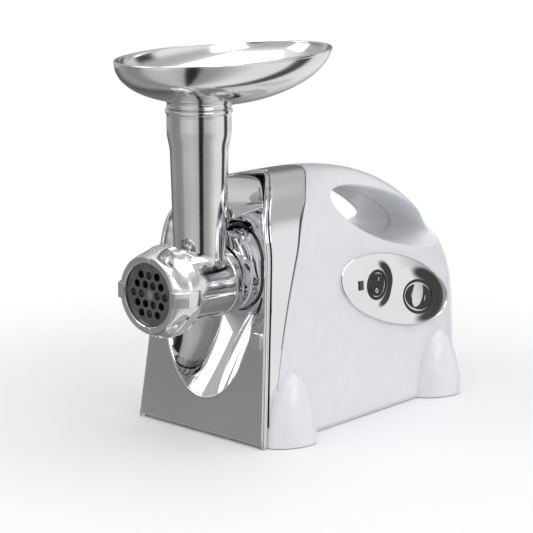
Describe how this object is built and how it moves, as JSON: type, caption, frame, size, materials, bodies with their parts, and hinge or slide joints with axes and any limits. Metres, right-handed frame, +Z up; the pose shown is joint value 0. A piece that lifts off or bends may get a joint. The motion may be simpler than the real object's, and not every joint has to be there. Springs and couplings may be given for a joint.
{
  "type": "electric meat grinder",
  "caption": "Table-top electric meat grinder: white arched casing with a finger hole, mirror front, screw-in mincing head and an oval hopper tray.",
  "frame": {"origin": "under the middle of the whole grinder, on the surface that it stands on", "axes": "+Z up, the meat leaves towards -Y, the switches are on the +X side"},
  "size_m": [0.184, 0.3432, 0.3145],
  "materials": {
    "polished_aluminium": "polished",
    "satin_aluminium": "satin",
    "cast_alloy": "as cast",
    "blade_steel": "ground",
    "plate_steel": "ground, dark",
    "chrome": "mirror plated plastic",
    "socket_chrome": "polished",
    "white_gloss": "gloss moulded",
    "white_plastic": "satin moulded",
    "rubber": "matte",
    "panel_chrome": "mirror plated plastic",
    "black_plastic": "satin moulded",
    "black_gloss": "gloss moulded",
    "nylon": "natural nylon",
    "spring_steel": "drawn",
    "gear_steel": "machined",
    "bronze": "sintered",
    "lamination": "stacked sheets",
    "lens_dark": "clear dark moulding",
    "copper": "enamelled wire",
    "carbon": "carbon"
  },
  "bodies": {
    "base": {"front_cover": "chrome", "head_socket": "socket_chrome", "left_housing": "white_gloss", "right_housing": "white_gloss", "base_plate": "white_plastic", "rubber_feet": "rubber", "control_panel": "panel_chrome", "power_switch_case": "black_plastic", "direction_switch_case": "black_plastic", "lock_spring": "spring_steel", "gear_bushes": "bronze", "gearbox_housing": "cast_alloy", "gearbox_cover": "cast_alloy", "stator_core": "lamination", "field_coils": "copper", "carbon_brushes": "carbon", "brush_holders": "bronze", "motor_bearings": "gear_steel", "front_bracket": "cast_alloy", "rear_bracket": "cast_alloy", "cord_gland": "black_plastic", "gearbox_screws": "gear_steel", "motor_screws": "gear_steel", "indicator_lens": "lens_dark", "casing_screws": "gear_steel", "base_screws": "gear_steel", "foot_screws": "gear_steel"},
    "head": {"head_housing": "polished_aluminium", "thrust_bush": "nylon", "grinding_plate": "plate_steel"},
    "tray": {"hopper_tray": "polished_aluminium"},
    "ring": {"ring_nut": "satin_aluminium"},
    "screw": {"auger": "cast_alloy", "cutting_blade": "blade_steel"},
    "power": {"power_rocker": "black_gloss"},
    "direction": {"direction_rocker": "black_gloss"},
    "lock": {"lock_button": "socket_chrome"},
    "rotor": {"motor_shaft": "gear_steel", "armature_core": "lamination", "armature_winding": "copper", "commutator": "copper", "cooling_fan": "nylon", "motor_pinion": "gear_steel"},
    "first_countershaft": {"first_shaft": "gear_steel", "first_gear": "nylon", "first_pinion": "gear_steel"},
    "second_countershaft": {"second_shaft": "gear_steel", "second_gear": "nylon", "second_pinion": "gear_steel"},
    "output": {"output_shaft": "gear_steel", "output_gear": "gear_steel"}
  },
  "joints": [
    {"name": "head_lift_out", "type": "slide", "parent": "base", "child": "head", "axis": [0, -1, 0], "range_m": [0, 0.06]},
    {"name": "tray_lift", "type": "slide", "parent": "head", "child": "tray", "axis": [0, 0, 1], "range_m": [0, 0.08]},
    {"name": "ring_turn", "type": "hinge", "parent": "head", "child": "ring", "pos_m": [0, -0.1475, 0.126], "axis": [0, 1, 0], "range_deg": [0, 720]},
    {"name": "output_spin", "type": "hinge", "parent": "base", "child": "output", "pos_m": [0, -0.0425, 0.126], "axis": [0, 1, 0], "continuous": true},
    {"name": "screw_spin", "type": "hinge", "parent": "head", "child": "screw", "pos_m": [0, -0.1025, 0.126], "axis": [0, 1, 0], "continuous": true},
    {"name": "second_spin", "type": "hinge", "parent": "base", "child": "second_countershaft", "pos_m": [0.02475, -0.0425, 0.08313], "axis": [0, 1, 0], "continuous": true},
    {"name": "first_spin", "type": "hinge", "parent": "base", "child": "first_countershaft", "pos_m": [0.02148, -0.0425, 0.05331], "axis": [0, 1, 0], "continuous": true},
    {"name": "rotor_spin", "type": "hinge", "parent": "base", "child": "rotor", "pos_m": [0, 0.0175, 0.07], "axis": [0, 1, 0], "continuous": true},
    {"name": "power_rock", "type": "hinge", "parent": "base", "child": "power", "pos_m": [0.06212, 0.0465, 0.11036], "axis": [0, 1, 0], "range_deg": [-5, 5]},
    {"name": "direction_rock", "type": "hinge", "parent": "base", "child": "direction", "pos_m": [0.06351, 0.1025, 0.09086], "axis": [-0.0681, 0.2907, 0.9544], "range_deg": [-6, 6]},
    {"name": "lock_press", "type": "slide", "parent": "base", "child": "lock", "axis": [0, 1, 0], "range_m": [0, 0.003], "stiffness_N_per_m": 400, "deforming": ["lock_spring"]}
  ],
  "couplings": [
    {"joint": "screw_spin", "follows": "output_spin", "ratio": 1},
    {"joint": "second_spin", "follows": "output_spin", "ratio": -4.5},
    {"joint": "first_spin", "follows": "output_spin", "ratio": 18},
    {"joint": "rotor_spin", "follows": "output_spin", "ratio": -84}
  ]
}
